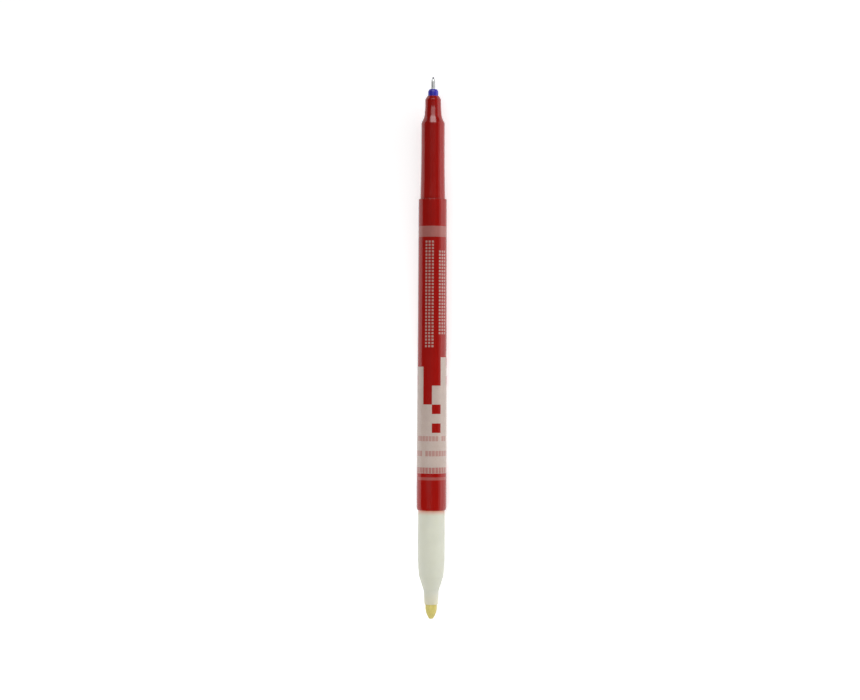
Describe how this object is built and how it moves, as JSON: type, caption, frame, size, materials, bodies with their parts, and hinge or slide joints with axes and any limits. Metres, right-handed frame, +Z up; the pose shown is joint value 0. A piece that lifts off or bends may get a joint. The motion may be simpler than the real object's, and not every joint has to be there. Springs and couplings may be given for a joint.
{
  "type": "ink eraser pen",
  "caption": "Uncapped double-ended pen that wipes out ink with a yellow fibre nib and writes over the place with a metal-clad blue fine point.",
  "frame": {"origin": "on the surface the pen lies on, below the middle of its length and on its centre plane", "axes": "+X along the pen from the eraser nib to the blue point, +Z up, +Y to the left of that"},
  "size_m": [0.15, 0.0082, 0.0083],
  "materials": {
    "barrel_plastic": "moulded dark red plastic with a pale print",
    "grip_plastic": "moulded dark red plastic",
    "cream_plastic": "moulded off-white plastic",
    "nib_fibre": "ground yellow fibre, damp",
    "holder_plastic": "moulded blue plastic",
    "sleeve_steel": "drawn stainless tube",
    "point_plastic": "ground plastic point, inky",
    "ink_fibre": "fibre soaked in blue ink",
    "eraser_reservoir_fibre": "fibre soaked in clear liquid",
    "reservoir_film": "thin clear film"
  },
  "bodies": {
    "root": {"barrel": "barrel_plastic", "eraser_section": "cream_plastic", "eraser_nib": "nib_fibre", "eraser_reservoir": "eraser_reservoir_fibre", "eraser_reservoir_film": "reservoir_film", "grip_section": "grip_plastic", "point_holder": "holder_plastic", "needle_sleeve": "sleeve_steel", "fine_point": "point_plastic", "ink_feed": "ink_fibre", "ink_reservoir": "ink_fibre", "ink_reservoir_film": "reservoir_film"}
  },
  "joints": []
}
